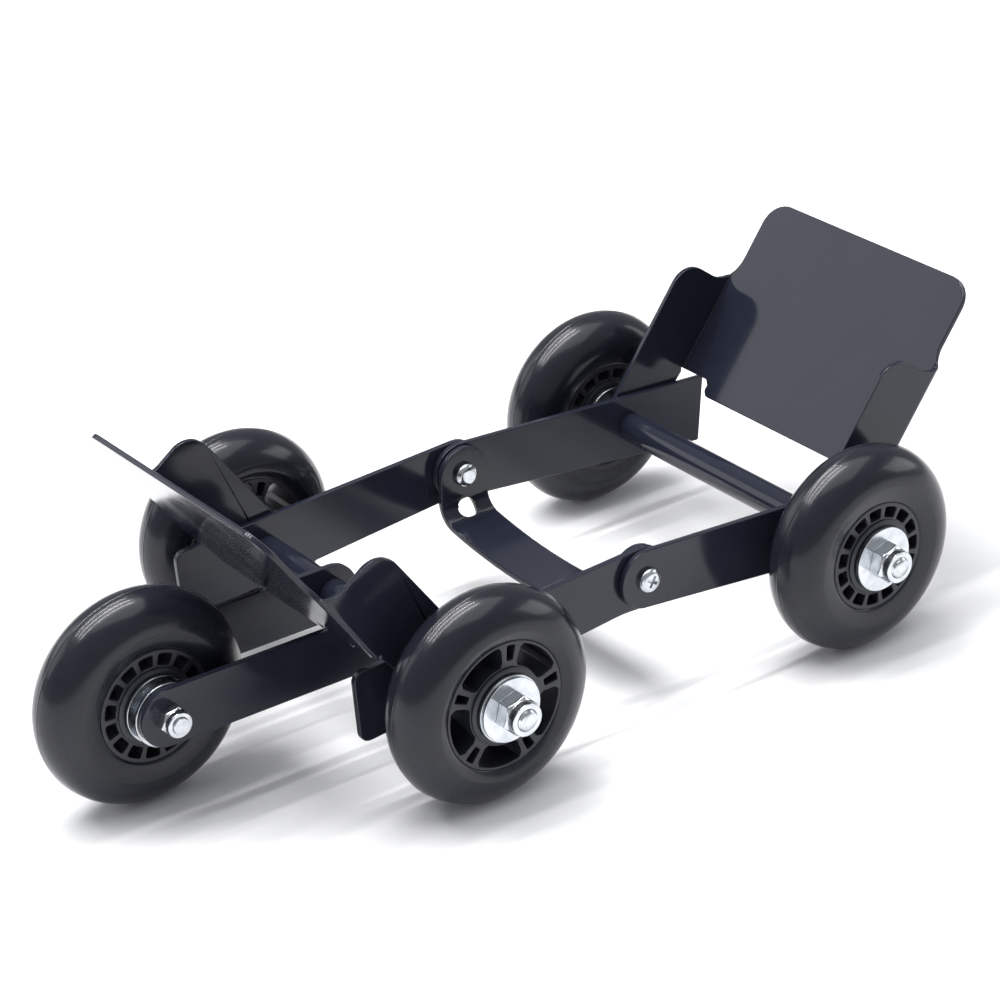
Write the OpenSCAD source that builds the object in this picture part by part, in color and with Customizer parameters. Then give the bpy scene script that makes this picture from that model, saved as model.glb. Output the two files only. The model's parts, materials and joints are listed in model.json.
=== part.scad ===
// Wheel dolly: a low frame of hinged flat bars on four wheels with a fifth nose wheel in a fork.
// Two folded sheet trays cradle a tyre, and a saddle strap hangs from the mid-span hinge.
// Millimetres. The floor is z = 0, +X points to the rear tray and -Y to the near side.

/* [Wheels] */
// Diameter of every wheel
wheel_d = 80; // [76:1:84]
// Width of the tyre at its widest
tyre_w = 24; // [22:0.5:25]
// Distance of the outboard wheels' middle planes from the centre line
wheel_y = 79; // [79:0.5:84]
// Distance between the front and the rear axle
wheelbase = 171; // [168:1:200]
// Distance from the front axle forward to the nose axle
nose_reach = 92.5; // [90:0.5:110]
// Middle plane of the nose wheel
nose_y = -4; // [-6:0.5:2]
// Radius of the core in the two front wheels
front_core_r = 24; // [23:0.5:25]
// Radius of the core in the rear and nose wheels
rear_core_r = 21; // [20:0.5:22]

/* [Frame bars] */
// Thickness of the arm and fork bars
bar_t = 2.5; // [2.5:0.5:3]
// Distance of the inner arms' inboard faces from the centre line
arm_y = 54; // [52:0.5:54]
// Distance from the front axle back to the hinge
hinge_run = 87; // [80:1:90]
// Height of the hinge above the axles
hinge_rise = 6.5; // [0:0.5:10]
// Radius of the arms' round hinge ends
hinge_r = 11.5; // [10:0.5:13]
// Half height of the arms at their tails
tail_half_h = 14; // [12:0.5:15]
// Length of the front arms' tails, past the axle
front_tail = 38; // [34:1:40]
// Length of the rear arms' tails, past the axle
rear_tail = 36.5; // [30:0.5:38]
// Height of the nose fork's bars
fork_h = 22; // [20:1:22]
// Clear distance between the nose fork's bars
fork_gap = 36; // [34:1:40]

/* [Trays] */
// Thickness of the tray sheet
sheet_t = 2; // [1.5:0.5:2]
// Slope of the tray plate from the floor
tray_slope = 53.5; // [50:0.5:56]
// Distance from the axle out to the foot of the plate's inner face
foot_x = 26.2; // [25:0.1:28]
// Height of the plate's foot above the axle
foot_rise = 12.1; // [12:0.1:13]
// Length of the rear tray's plate up the slope, from its foot
rear_plate_len = 81; // [70:0.5:85]
// Length of the front tray's plate up the slope, from its foot
front_plate_len = 75; // [70:0.5:85]
// Half width of the plate above the ears
plate_half_w = 56; // [50:1:57]
// Distance from the fold to the ear's free edge
ear_depth = 26; // [25:0.5:30]
// Height of the rear tray's ears up the slope, from the plate's foot
rear_ear_top = 43; // [34:0.5:46]
// Height of the front tray's ears up the slope, from the plate's foot
front_ear_top = 36.5; // [34:0.5:46]

/* [Saddle strap] */
// Width of the strap
strap_w = 22; // [20:1:22]
// Thickness of the strap
strap_t = 2.5; // [2:0.5:2.5]
// Drop of the strap's middle below the hinge
strap_drop = 22.5; // [22:0.5:26]

/* [Hidden] */
$fn = 72;

// Sides: the near side is -Y, the far side is +Y
near = -1;
far = 1;

// Fits
run_fit = 0.05;      // radial clearance of a bore that turns on its pin
screw_fit = 0.02;    // radial clearance of a nut or washer on its own thread
stack_gap = 0.04;    // gap between stacked washers, which keeps them separate pieces
slide_gap = 0.3;     // gap between bars that turn past each other
tray_gap = 0.2;      // gap between an arm and the tray ear beside it

// Heights and lengths along X, measured from the front axle and then shifted so that the
// origin lies under the middle of the whole dolly
axle_z = wheel_d / 2;
plate_top_x = foot_x + rear_plate_len * cos(tray_slope);
low_x = -nose_reach - wheel_d / 2;
high_x = wheelbase + plate_top_x + sheet_t * sin(tray_slope);
front_x = -(low_x + high_x) / 2;
rear_x = front_x + wheelbase;
nose_x = front_x - nose_reach;
hinge_x = front_x + hinge_run;
hinge_z = axle_z + hinge_rise;

// Planes across Y
outer_arm_y = arm_y + bar_t + slide_gap;
inner_ear_y = arm_y + bar_t + tray_gap;
outer_ear_y = outer_arm_y + bar_t + tray_gap;
race_face = tyre_w / 2;              // inner races stand this far from a wheel's middle plane
fork_near_y = nose_y - fork_gap / 2;
fork_far_y = nose_y + fork_gap / 2;

// M8 hardware
m8_r = 4;
m8_flats = 13;
m8_nut_h = 5.6;
m8_collar_r = 6.1;
m8_collar_h = 2.9;
washer_r = 12.5;
washer_t = 1.2;
thick_washer_t = 1.6;
rod_proud = 0.9;                     // thread that shows beyond a nut's collar
bush_r = 7;

// M6 thread and nut at the near end of the nose wheel's shouldered bolt
m6_r = 3;
m6_flats = 10;
m6_nut_h = 4.4;
m6_collar_r = 4.7;
m6_collar_h = 2.2;

// M5 hinge hardware
m5_r = 2.5;
m5_flats = 8;
m5_nut_h = 4.2;
m5_washer_r = 5;
m5_washer_t = 0.8;
m5_head_r = 4.7;
m5_head_h = 2.8;

// Axle tubes, bearings and cores
tube_r = 6;
bearing_r = 11;
bearing_w = 7;
ball_r = 1.95;
ball_pitch_r = 7.6;
ball_count = 7;
boss_r = 14.4;
boss_half_w = 11.5;

// Strap bends
strap_bend_r = 9.25;
strap_arc_r = 235;
strap_hole_drop = 14.5;
strap_hole_r = 4;
strap_y = arm_y - slide_gap - strap_t / 2;

painted = "#15161a";
rubbery = "#20232c";
moulded = "#1b1d24";
zinc = "#c9ccd0";
steel = "#a9adb3";

// ---------- helpers ----------

// Points of an arc about c, from angle a0 to a1
function arc(c, r, a0, a1, n = 10) =
    [for (i = [0 : n]) c + r * [cos(a0 + (a1 - a0) * i / n), sin(a0 + (a1 - a0) * i / n)]];

// Puts children, drawn along +Z, on the axis x, z along +Y from y
module on_axle(x, z, y) translate([x, y, z]) rotate([-90, 0, 0]) children();

// A ring or rod from y0 to y1 along Y
module ring_y(x, z, y0, y1, ro, ri = 0)
    on_axle(x, z, y0) difference() {
        cylinder(h = y1 - y0, r = ro);
        if (ri > 0) translate([0, 0, -1]) cylinder(h = y1 - y0 + 2, r = ri);
    }

// The same between distances d0 < d1 from the centre line on one side
module ring_side(side, x, z, d0, d1, ro, ri = 0)
    ring_y(x, z, side > 0 ? d0 : -d1, side > 0 ? d1 : -d0, ro, ri);

// A 2D outline in X and Z, as a plate between d0 and d0 + t from the centre line on one side
module plate_side(side, d0, t)
    translate([0, side > 0 ? d0 + t : -d0, 0]) rotate([90, 0, 0]) linear_extrude(t) children();

// Hexagon prism of height h with its far rim chamfered, standing on z = 0
module hexagon(flats, h) {
    r = flats / 2 / cos(30);
    chamfer = 0.9;
    intersection() {
        cylinder(h = h, r = r, $fn = 6);
        rotate_extrude() polygon([[0, 0], [r, 0], [r, h - chamfer], [r - chamfer * 1.8, h], [0, h]]);
    }
}

// Lock nut standing on z = 0: hexagon and the round collar that holds the nylon ring
module lock_nut(flats, h, collar_r, collar_h, thread_r) difference() {
    union() {
        hexagon(flats, h);
        cylinder(h = h + collar_h, r = collar_r);
    }
    translate([0, 0, -1]) cylinder(h = h + collar_h + 2, r = thread_r + screw_fit);
}

// Turns children drawn outward along +Z so that they face outboard, at distance d on one side
module outboard(side, x, z, d)
    translate([x, side * d, z]) rotate([side > 0 ? -90 : 90, 0, 0]) children();

// ---------- wheels ----------

// Tyre: round tread falling to flat sidewalls that end at the core
module tyre(x, y, core_r) {
    shoulder_r = 27.5;
    lip_half_w = 10.4;
    half_w = tyre_w / 2;
    color(rubbery) on_axle(x, axle_z, y) rotate_extrude($fn = 96) polygon(concat(
        [[core_r, -lip_half_w], [core_r + 1.2, -lip_half_w - 0.3]],
        [for (a = [-90 : 7.5 : 90])
            [shoulder_r + (wheel_d / 2 - shoulder_r) * cos(a), half_w * sin(a)]],
        [[core_r + 1.2, lip_half_w + 0.3], [core_r, lip_half_w]]));
}

// Body of revolution shared by both cores: boss and thick web, with the bearing seats
module core_body(core_r) {
    web_half_w = 10.4;
    seat_depth = bearing_w + boss_half_w - race_face + 0.5;
    difference() {
        rotate_extrude() polygon([
            [8.5, -boss_half_w], [boss_r, -boss_half_w], [boss_r, -web_half_w],
            [core_r, -web_half_w], [core_r, web_half_w], [boss_r, web_half_w],
            [boss_r, boss_half_w], [8.5, boss_half_w]]);
        for (s = [-1, 1]) translate([0, 0, s * (boss_half_w - seat_depth / 2 + 0.5)])
            cylinder(h = seat_depth + 1, r = bearing_r, center = true);
    }
}

// Sector of an annulus between radii r0 and r1, half_a degrees each side of +X
module sector(r0, r1, half_a) intersection() {
    difference() { circle(r1); circle(r0); }
    polygon([[0, 0], [2 * r1, -2 * r1 * tan(half_a)], [2 * r1, 2 * r1 * tan(half_a)]]);
}

// Core with five wide windows and, between paired ribs, five narrow ones
module five_spoke_core(x, y, phase) color(moulded) on_axle(x, axle_z, y) rotate([0, 0, phase])
    difference() {
        core_body(front_core_r);
        translate([0, 0, -15]) linear_extrude(30) for (i = [0 : 4]) {
            rotate(72 * i) sector(17, front_core_r - 1.4, 4.4);
            rotate(72 * i + 36) sector(14.9, front_core_r - 1.1, 25.4);
        }
    }

// Core with a ring of small square windows
module ring_core(x, y) color(moulded) on_axle(x, axle_z, y) difference() {
    core_body(rear_core_r);
    translate([0, 0, -15]) linear_extrude(30)
        for (i = [0 : 14]) rotate(24 * i) sector(15.2, rear_core_r - 1.6, 8.8);
}

// Groove that the balls run in
module ball_groove() translate([ball_pitch_r, 0]) circle(r = ball_r + run_fit, $fn = 48);

// Both outer races with their shields, in the wheel's middle plane at y
module bearing_outers(x, y) color(steel) for (s = [-1, 1])
    on_axle(x, axle_z, y + s * (race_face - bearing_w / 2 - 0.5)) rotate_extrude() difference() {
        union() {
            translate([9, -bearing_w / 2]) square([bearing_r - 9, bearing_w]);
            for (e = [-1, 1]) translate([6.6, e * (bearing_w / 2 - 0.4) - 0.2]) square([3, 0.4]);
        }
        ball_groove();
    }

// Both inner races and the distance tube between them
module bearing_inners(x, y) color(steel) {
    inner_r = m8_r + screw_fit;
    seat_y = race_face - bearing_w / 2 - 0.5;
    for (s = [-1, 1]) on_axle(x, axle_z, y + s * seat_y) rotate_extrude() difference() {
        union() {
            translate([inner_r, -bearing_w / 2]) square([6.2 - inner_r, bearing_w]);
            translate([inner_r, s > 0 ? bearing_w / 2 - 0.1 : -bearing_w / 2 - 0.5])
                square([6.2 - inner_r, 0.6]);
        }
        ball_groove();
    }
    ring_y(x, axle_z, y - seat_y + bearing_w / 2 + 0.05, y + seat_y - bearing_w / 2 - 0.05,
        6, inner_r);
}

// Both cages, each a thin ring with its balls
module ball_cages(x, y) color(zinc) for (s = [-1, 1])
    on_axle(x, axle_z, y + s * (race_face - bearing_w / 2 - 0.5)) union() {
        rotate_extrude() translate([ball_pitch_r - 0.6, -0.5]) square([1.2, 1]);
        for (i = [0 : ball_count - 1]) rotate(360 / ball_count * i)
            translate([ball_pitch_r, 0, 0]) sphere(r = ball_r, $fn = 32);
    }

// ---------- frame bars ----------

// Outline of an arm: its axle at the origin, its hinge at +X and its square tail at -X
module arm_outline(len, tail, corner) {
    union() {
        polygon(concat(
            arc([-tail + corner, -tail_half_h + corner], corner, 180, 270),
            [[len, -hinge_r], [len, hinge_r]],
            arc([-tail + corner, tail_half_h - corner], corner, 90, 180)));
        translate([len, 0]) circle(r = hinge_r);
    }
}

// An arm from the axle at x towards the hinge, run mm away along toward * X
module arm(side, x, run, toward, tail, corner, d0) {
    len = norm([run, hinge_rise]);
    color(painted) difference() {
        plate_side(side, d0, bar_t) translate([x, axle_z]) mirror([toward > 0 ? 0 : 1, 0])
            rotate(atan2(hinge_rise, run)) arm_outline(len, tail, corner);
        ring_side(side, x, axle_z, d0 - 1, d0 + bar_t + 1, m8_r + run_fit);
        ring_side(side, hinge_x, hinge_z, d0 - 1, d0 + bar_t + 1, m5_r + run_fit);
    }
}

module near_front_arm() arm(near, front_x, hinge_run, 1, front_tail, 4, arm_y);
module far_front_arm() arm(far, front_x, hinge_run, 1, front_tail, 4, outer_arm_y);
module near_rear_arm() arm(near, rear_x, wheelbase - hinge_run, -1, rear_tail, 1, outer_arm_y);
module far_rear_arm() arm(far, rear_x, wheelbase - hinge_run, -1, rear_tail, 1, arm_y);

// A fork bar between y0 and y0 + bar_t, with round ends on both axles
module fork_bar(y0) color(painted) difference() {
    translate([0, y0 + bar_t, 0]) rotate([90, 0, 0]) linear_extrude(bar_t) union() {
        translate([nose_x, axle_z - fork_h / 2]) square([nose_reach, fork_h]);
        for (x = [nose_x, front_x]) translate([x, axle_z]) circle(r = fork_h / 2);
    }
    ring_y(nose_x, axle_z, y0 - 1, y0 + bar_t + 1, m8_r + run_fit);
    ring_y(front_x, axle_z, y0 - 1, y0 + bar_t + 1, m8_r + run_fit);
}

module near_fork_bar() fork_bar(fork_near_y - bar_t);
module far_fork_bar() fork_bar(fork_far_y);

// ---------- trays ----------

// Fillet that runs from the ear's top edge over the fold to the plate's side edge, in the flat
// sheet: its middle stands blend_r out from the plate's edge and up from the ear's top
blend_r = 12;
fold_half_w = (inner_ear_y + outer_ear_y) / 2;
fold_a = asin((plate_half_w + blend_r - fold_half_w) / blend_r);
fold_rise = blend_r * (1 - cos(fold_a));
fold_foot = 5;

// Half of the plate's outline, in slope length and width, from its foot to its top
function plate_half(plate_len, ear_top, tongue_half_w, corner) = concat(
    [[-1.3, 0], [-1.3, tongue_half_w - 3]],
    arc([1.7, tongue_half_w - 3], 3, 180, 90, 6),
    [[fold_foot - 2, tongue_half_w], [fold_foot, tongue_half_w + 2], [fold_foot, fold_half_w]],
    [[ear_top + fold_rise, fold_half_w]],
    [for (i = [1 : 8]) let (a = fold_a + (90 - fold_a) * i / 8)
        [ear_top + blend_r * (1 - cos(a)), plate_half_w + blend_r * (1 - sin(a))]],
    arc([plate_len - corner, plate_half_w - corner], corner, 90, 0, 8));

// One ear in slope length and distance from the fold, down to its round foot on the axle
module ear_outline(ear_top, axle_s, axle_p) {
    corner = 10;
    foot_r = ear_depth - axle_p;
    blend_p = plate_half_w + blend_r - fold_half_w;
    union() {
        polygon(concat(
            [[axle_s, axle_p - foot_r], [fold_foot, 0], [ear_top + fold_rise, 0]],
            [for (i = [7 : -1 : 0]) let (a = fold_a * i / 8)
                [ear_top + blend_r * (1 - cos(a)), blend_p - blend_r * sin(a)]],
            arc([ear_top - corner, ear_depth - corner], corner, 0, 90, 8),
            [[axle_s, ear_depth]]));
        translate([axle_s, axle_p]) circle(r = foot_r);
    }
}

// A tray about the rear axle at x = 0, z = 0: ears from near_y and far_y outboard.
// Its frame has +X up the slope and +Z square to the plate, towards the tyre.
module tray_sheet(plate_len, ear_top, near_y, far_y, notches) {
    half_w = (far_y - near_y) / 2;
    mid_y = (far_y + near_y) / 2;
    axle_s = -foot_x * cos(tray_slope) - foot_rise * sin(tray_slope);
    axle_p = foot_x * sin(tray_slope) - foot_rise * cos(tray_slope);
    fold_len = ear_top + fold_rise - fold_foot;
    half = plate_half(plate_len, ear_top, 42, 10);
    translate([foot_x, 0, foot_rise]) rotate([0, -tray_slope, 0]) difference() {
        union() {
            translate([0, mid_y, -sheet_t]) linear_extrude(sheet_t) polygon(concat(
                half, [for (i = [len(half) - 1 : -1 : 1]) [half[i][0], -half[i][1]]]));
            translate([0, far_y + sheet_t, 0]) rotate([90, 0, 0]) linear_extrude(sheet_t)
                ear_outline(ear_top, axle_s, axle_p);
            translate([0, near_y, 0]) rotate([90, 0, 0]) linear_extrude(sheet_t)
                ear_outline(ear_top, axle_s, axle_p);
            for (s = [-1, 1]) intersection() {
                translate([fold_foot, mid_y + s * half_w, 0]) rotate([0, 90, 0])
                    cylinder(h = fold_len, r = sheet_t);
                translate([fold_foot, mid_y + s * (half_w + sheet_t / 2) - sheet_t / 2, -sheet_t])
                    cube([fold_len, sheet_t, sheet_t]);
            }
        }
        translate([axle_s, near_y - sheet_t - 1, axle_p]) rotate([-90, 0, 0])
            cylinder(h = far_y - near_y + 2 * sheet_t + 2, r = m8_r + run_fit);
        for (y = notches) translate([-3, y - bar_t, -sheet_t - 1])
            cube([6, 2 * bar_t, sheet_t + 2]);
    }
}

module front_tray() color(painted) translate([front_x, 0, axle_z]) mirror([1, 0, 0])
    tray_sheet(front_plate_len, front_ear_top, -inner_ear_y, outer_ear_y,
        [fork_near_y - bar_t / 2, fork_far_y + bar_t / 2]);
module rear_tray() color(painted) translate([rear_x, 0, axle_z])
    tray_sheet(rear_plate_len, rear_ear_top, -outer_ear_y, inner_ear_y, []);

// ---------- saddle strap ----------

// The strap's line across Y, half of it: a large arc below, a tight bend and an upright leg
bend_a = asin((strap_y - strap_bend_r) / (strap_arc_r - strap_bend_r));
bend_z = strap_arc_r - strap_drop - (strap_arc_r - strap_bend_r) * cos(bend_a);
function strap_half(out) = concat(
    arc([0, strap_arc_r - strap_drop], strap_arc_r + out, 270, 270 + bend_a, 8),
    arc([strap_y - strap_bend_r, bend_z], strap_bend_r + out, 270 + bend_a, 360, 10),
    [[strap_y + out, 0]]);
function back(points) = [for (i = [len(points) - 1 : -1 : 0]) points[i]];
function mirrored(points) = [for (p = points) [-p[0], p[1]]];
strap_outer = strap_half(strap_t / 2);
strap_inner = strap_half(-strap_t / 2);

module saddle_strap() color(painted) translate([hinge_x, 0, hinge_z]) difference() {
    union() {
        translate([-strap_w / 2, 0, 0]) rotate([90, 0, 90]) linear_extrude(strap_w)
            polygon(concat(mirrored(back(strap_outer)), strap_outer,
                back(strap_inner), mirrored(strap_inner)));
        for (side = [near, far])
            ring_side(side, 0, 0, strap_y - strap_t / 2, strap_y + strap_t / 2, strap_w / 2);
    }
    ring_y(0, 0, -strap_y - 5, strap_y + 5, m5_r + run_fit);
    for (side = [near, far])
        ring_side(side, 0, -strap_hole_drop, strap_y - 9, strap_y + 5, strap_hole_r);
}

// ---------- axles, tubes and hardware ----------

// Ends of the outer stack: the wheel's outboard race face, then washers, nut and bare thread
front_stack = wheel_y + race_face + 2 * washer_t;
rear_stack = wheel_y + race_face + thick_washer_t;
nut_len = m8_nut_h + m8_collar_h;

module axle_rod(x, stack) color(zinc)
    ring_y(x, axle_z, -stack - nut_len - rod_proud, stack + nut_len + rod_proud, m8_r);
module front_axle_rod() axle_rod(front_x, front_stack);
module rear_axle_rod() axle_rod(rear_x, rear_stack);

nose_nut_y = fork_near_y - bar_t;
nose_head_y = fork_far_y + bar_t;
module nose_axle_bolt() color(zinc) union() {
    ring_y(nose_x, axle_z, nose_nut_y - m6_nut_h - m6_collar_h - rod_proud, nose_nut_y + 1, m6_r);
    ring_y(nose_x, axle_z, nose_nut_y + 0.1, nose_head_y + 1, m8_r);
    outboard(far, nose_x, axle_z, nose_head_y) hexagon(m8_flats, 5.3);
}

module front_spacer_tubes() color(painted) {
    bore = m8_r + screw_fit;
    ring_y(front_x, axle_z, -arm_y, fork_near_y - bar_t - tray_gap, tube_r, bore);
    ring_y(front_x, axle_z, fork_near_y + tray_gap, fork_far_y - tray_gap, tube_r, bore);
    ring_y(front_x, axle_z, fork_far_y + bar_t + tray_gap, outer_arm_y, tube_r, bore);
}
module rear_spacer_tube() color(painted)
    ring_y(rear_x, axle_z, -outer_arm_y, arm_y, tube_r, m8_r + screw_fit);

module wheel_nuts(x, stack) color(zinc) for (side = [near, far])
    outboard(side, x, axle_z, stack)
        rotate(17) lock_nut(m8_flats, m8_nut_h, m8_collar_r, m8_collar_h, m8_r);
module front_wheel_nuts() wheel_nuts(front_x, front_stack);
module rear_wheel_nuts() wheel_nuts(rear_x, rear_stack);
module nose_wheel_nut() color(zinc) translate([nose_x, nose_nut_y, axle_z])
    rotate([90, 0, 0]) rotate(10) lock_nut(m6_flats, m6_nut_h, m6_collar_r, m6_collar_h, m6_r);

module front_wheel_washers() color(zinc) for (side = [near, far], i = [0, 1])
    ring_side(side, front_x, axle_z, wheel_y + race_face + i * washer_t,
        wheel_y + race_face + (i + 1) * washer_t - stack_gap, washer_r - 0.5 * i,
        m8_r + screw_fit);
module rear_wheel_washers() color(zinc) for (side = [near, far])
    ring_side(side, rear_x, axle_z, wheel_y + race_face, rear_stack, washer_r, m8_r + screw_fit);
module nose_wheel_washers() color(zinc) for (side = [near, far], i = [0, 1])
    let (d0 = i == 0 ? race_face : fork_gap / 2 - washer_t, d1 = d0 + washer_t)
        ring_y(nose_x, axle_z, nose_y + (side > 0 ? d0 : -d1), nose_y + (side > 0 ? d1 : -d0),
            washer_r - 0.5 * i, m8_r + screw_fit);
module nose_spacer_bushes() color(zinc) for (side = [near, far])
    let (d0 = race_face + washer_t + stack_gap, d1 = fork_gap / 2 - washer_t - stack_gap)
        ring_y(nose_x, axle_z, nose_y + (side > 0 ? d0 : -d1), nose_y + (side > 0 ? d1 : -d0),
            bush_r, m8_r + screw_fit);

// Between a tray's ear and the wheel's inner race: a washer against the race and a bush
module inner_spacers(x, near_ear, far_ear) color(zinc) for (side = [near, far]) {
    race_y = wheel_y - race_face;
    ear_y = (side > 0 ? far_ear : near_ear) + sheet_t + tray_gap;
    ring_side(side, x, axle_z, race_y - thick_washer_t, race_y, washer_r, m8_r + screw_fit);
    ring_side(side, x, axle_z, ear_y, race_y - thick_washer_t - stack_gap, bush_r,
        m8_r + screw_fit);
}
module front_inner_spacers() inner_spacers(front_x, inner_ear_y, outer_ear_y);
module rear_inner_spacers() inner_spacers(rear_x, outer_ear_y, inner_ear_y);

// Hinge screws: on the near side the head is outboard, on the far side it is inboard
arm_face = outer_arm_y + bar_t;
strap_face = strap_y - strap_t / 2 - tray_gap;
screw_len = 15.5;

// Screw along +Z with its shank above z = 0 and its domed head below, with a cross recess
module pan_screw(recess) difference() {
    union() {
        cylinder(h = screw_len, r = m5_r);
        mirror([0, 0, 1]) rotate_extrude() polygon(concat([[0, 0], [m5_head_r, 0]],
            [for (a = [0 : 15 : 90]) [m5_head_r * (0.45 + 0.55 * cos(a)),
                m5_head_h * (0.35 + 0.65 * sin(a))]], [[0, m5_head_h]]));
    }
    if (recess) for (a = [0, 90]) rotate(a) translate([-2.3, -0.55, -m5_head_h - 1])
        cube([4.6, 1.1, 2.4]);
}

module hinge_screws() color(zinc) {
    translate([hinge_x, -arm_face, hinge_z]) rotate([-90, 0, 0]) rotate(30) pan_screw(true);
    translate([hinge_x, strap_face, hinge_z]) rotate([-90, 0, 0]) pan_screw(false);
}
module hinge_washers() color(zinc) {
    ring_side(near, hinge_x, hinge_z, strap_face - m5_washer_t, strap_face,
        m5_washer_r, m5_r + screw_fit);
    ring_side(far, hinge_x, hinge_z, arm_face + tray_gap, arm_face + tray_gap + m5_washer_t,
        m5_washer_r, m5_r + screw_fit);
}
module hinge_nuts() color(zinc) {
    translate([hinge_x, -strap_face + m5_washer_t, hinge_z]) rotate([-90, 0, 0])
        lock_nut(m5_flats, m5_nut_h - 1, 3.6, 1, m5_r);
    translate([hinge_x, arm_face + tray_gap + m5_washer_t, hinge_z]) rotate([-90, 0, 0])
        lock_nut(m5_flats, m5_nut_h - 1, 3.6, 1, m5_r);
}

// ---------- nodes ----------

spoke_phase = 62;

front_tray();
rear_tray();
saddle_strap();
near_front_arm();
far_front_arm();
near_rear_arm();
far_rear_arm();
near_fork_bar();
far_fork_bar();
front_axle_rod();
rear_axle_rod();
nose_axle_bolt();
front_spacer_tubes();
rear_spacer_tube();
front_wheel_nuts();
rear_wheel_nuts();
nose_wheel_nut();
front_wheel_washers();
rear_wheel_washers();
nose_wheel_washers();
front_inner_spacers();
rear_inner_spacers();
nose_spacer_bushes();
hinge_screws();
hinge_nuts();
hinge_washers();

tyre(nose_x, nose_y, rear_core_r);  // nose_tyre
ring_core(nose_x, nose_y);  // nose_hub
bearing_outers(nose_x, nose_y);  // nose_bearing_outers
bearing_inners(nose_x, nose_y);  // nose_bearing_inners
ball_cages(nose_x, nose_y);  // nose_ball_cages

tyre(front_x, -wheel_y, front_core_r);  // near_front_tyre
five_spoke_core(front_x, -wheel_y, spoke_phase);  // near_front_hub
bearing_outers(front_x, -wheel_y);  // near_front_bearing_outers
bearing_inners(front_x, -wheel_y);  // near_front_bearing_inners
ball_cages(front_x, -wheel_y);  // near_front_ball_cages

tyre(front_x, wheel_y, front_core_r);  // far_front_tyre
five_spoke_core(front_x, wheel_y, 0);  // far_front_hub
bearing_outers(front_x, wheel_y);  // far_front_bearing_outers
bearing_inners(front_x, wheel_y);  // far_front_bearing_inners
ball_cages(front_x, wheel_y);  // far_front_ball_cages

tyre(rear_x, -wheel_y, rear_core_r);  // near_rear_tyre
ring_core(rear_x, -wheel_y);  // near_rear_hub
bearing_outers(rear_x, -wheel_y);  // near_rear_bearing_outers
bearing_inners(rear_x, -wheel_y);  // near_rear_bearing_inners
ball_cages(rear_x, -wheel_y);  // near_rear_ball_cages

tyre(rear_x, wheel_y, rear_core_r);  // far_rear_tyre
ring_core(rear_x, wheel_y);  // far_rear_hub
bearing_outers(rear_x, wheel_y);  // far_rear_bearing_outers
bearing_inners(rear_x, wheel_y);  // far_rear_bearing_inners
ball_cages(rear_x, wheel_y);  // far_rear_ball_cages
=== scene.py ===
"""Wheel dolly: the looks of a hinged flat-bar frame on five cast wheels, with two folded trays.

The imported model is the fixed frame. Every shown piece is either a surface worked out here from
the frame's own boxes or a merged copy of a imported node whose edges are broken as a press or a
file would break them. Lengths inside the classes are millimetres; meshes are written in metres.
"""

from __future__ import annotations

import json
import logging
import math
from dataclasses import dataclass, field
from enum import Enum

import bmesh
import bpy
import numpy as np
from mathutils import Matrix, Vector
from mathutils.geometry import delaunay_2d_cdt


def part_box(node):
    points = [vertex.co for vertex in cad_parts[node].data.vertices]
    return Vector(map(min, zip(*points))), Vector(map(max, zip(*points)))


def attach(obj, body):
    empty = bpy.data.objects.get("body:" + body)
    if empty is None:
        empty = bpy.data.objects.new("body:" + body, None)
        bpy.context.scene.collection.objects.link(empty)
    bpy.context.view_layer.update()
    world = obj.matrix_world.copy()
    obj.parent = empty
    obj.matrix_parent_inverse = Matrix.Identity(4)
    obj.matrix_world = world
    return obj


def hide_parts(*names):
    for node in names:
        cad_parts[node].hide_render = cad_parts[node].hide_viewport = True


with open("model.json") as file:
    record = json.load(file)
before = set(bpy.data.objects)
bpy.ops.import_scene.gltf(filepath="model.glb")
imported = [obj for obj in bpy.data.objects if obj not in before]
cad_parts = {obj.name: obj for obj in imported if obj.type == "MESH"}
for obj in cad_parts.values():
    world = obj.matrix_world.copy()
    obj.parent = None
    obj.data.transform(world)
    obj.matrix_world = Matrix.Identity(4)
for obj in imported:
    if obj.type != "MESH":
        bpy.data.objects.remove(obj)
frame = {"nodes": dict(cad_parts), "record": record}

LOG = logging.getLogger("wheel_dolly")
MM = 0.001
METRE_MM = 1000.0
Material = bpy.types.Material
Mesh = bpy.types.Mesh
Object = bpy.types.Object
Tree = bpy.types.NodeTree
Socket = bpy.types.NodeSocket
WHOLE_HULL = 1
SAME_POINT = 1e-4
SHARP_DEG = 50.0
NODE_BODY = {
    node: body for body, nodes in frame["record"]["behaviour"]["bodies"].items() for node in nodes
}


class Slot(Enum):
    """The record's material slots that the pieces made here use."""

    PAINT = "black_paint"
    ZINC = "zinc_plate"
    TYRE = "polyurethane_tyre"
    CORE = "core_plastic"


# ---------- small helpers ----------


def linear(hex_colour: str) -> tuple[float, float, float, float]:
    """Turns an sRGB hex colour to linear RGBA.

    Args:
        hex_colour: the colour, as "#rrggbb".

    Returns:
        Linear red, green and blue, and an alpha of 1.
    """
    value = np.array([int(hex_colour[i : i + 2], 16) for i in (1, 3, 5)]) / 255.0
    channel = np.where(value <= 0.04045, value / 12.92, ((value + 0.055) / 1.055) ** 2.4)
    return (*channel.tolist(), 1.0)


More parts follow.
